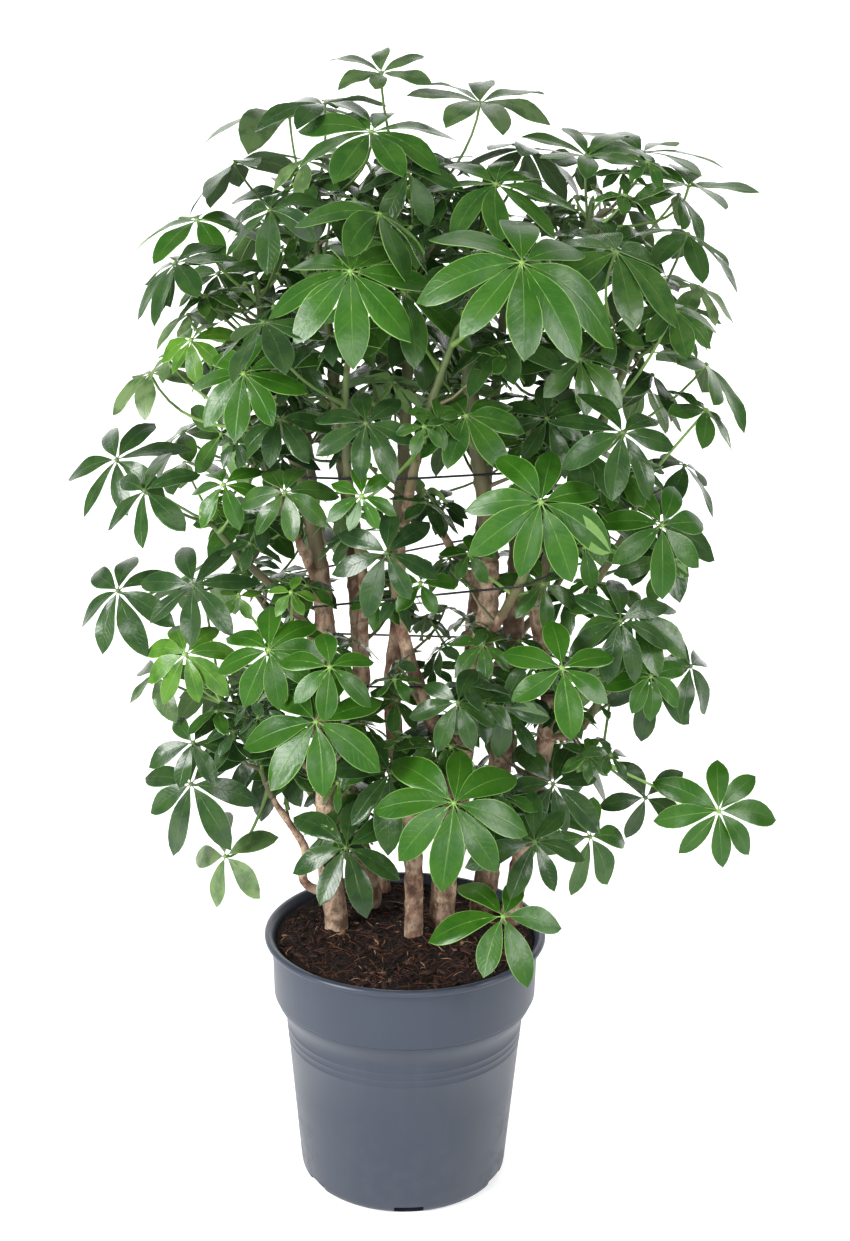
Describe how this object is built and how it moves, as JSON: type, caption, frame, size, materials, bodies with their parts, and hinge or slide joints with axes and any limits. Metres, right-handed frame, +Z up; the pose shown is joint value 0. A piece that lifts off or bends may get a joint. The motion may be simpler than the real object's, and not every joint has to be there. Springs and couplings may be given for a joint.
{
  "type": "potted umbrella plant",
  "caption": "Bushy umbrella plant with palmate glossy leaves on upright woody trunks, tied together with thin cords, growing in a plain tapered nursery pot filled with soil.",
  "frame": {"origin": "middle of the pot's flat underside, on the floor", "axes": "+Z up, -Y towards the viewer of the picture, +X to the right in the picture"},
  "size_m": [0.6597, 0.4842, 1.0607],
  "materials": {
    "pot": "satin blue-grey moulded plastic",
    "soil": "matt dark brown potting soil with bark chips and coir fibres",
    "bark": "matt tan to grey-brown bark with leaf scars",
    "cord": "thin black plastic-covered tie cord",
    "leaf": "glossy leathery green leaves, bright to dark, with paler stalks and ribs"
  },
  "bodies": {
    "root": {"pot": "pot", "soil": "soil", "trunk_1": "bark", "trunk_2": "bark", "trunk_3": "bark", "trunk_4": "bark", "trunk_5": "bark", "trunk_6": "bark", "trunk_7": "bark", "trunk_8": "bark", "tie_low": "cord", "tie_middle": "cord", "tie_high": "cord", "shoot_left_high": "leaf", "shoot_top_left": "leaf", "shoot_top_middle": "leaf", "shoot_top_right": "leaf", "shoot_right_high": "leaf", "shoot_right_mid": "leaf", "shoot_back_left": "leaf", "shoot_back_right": "leaf", "shoot_left_upper": "leaf", "shoot_left_middle": "leaf", "shoot_left_bright": "leaf", "shoot_left_low": "leaf", "shoot_low_twig": "leaf", "shoot_front_left": "leaf", "shoot_front_middle": "leaf", "shoot_front_right": "leaf", "shoot_middle_dark": "leaf", "shoot_right_bright": "leaf", "shoot_right_lower": "leaf", "shoot_right_low": "leaf", "shoot_front_low": "leaf", "shoot_middle_small": "leaf", "shoot_front_bright": "leaf", "shoot_middle_low": "leaf", "shoot_low_left": "leaf", "shoot_back_left_middle": "leaf", "shoot_back_right_middle": "leaf", "shoot_back_left_low": "leaf", "shoot_back_right_low": "leaf", "shoot_back_middle": "leaf"}
  },
  "joints": []
}
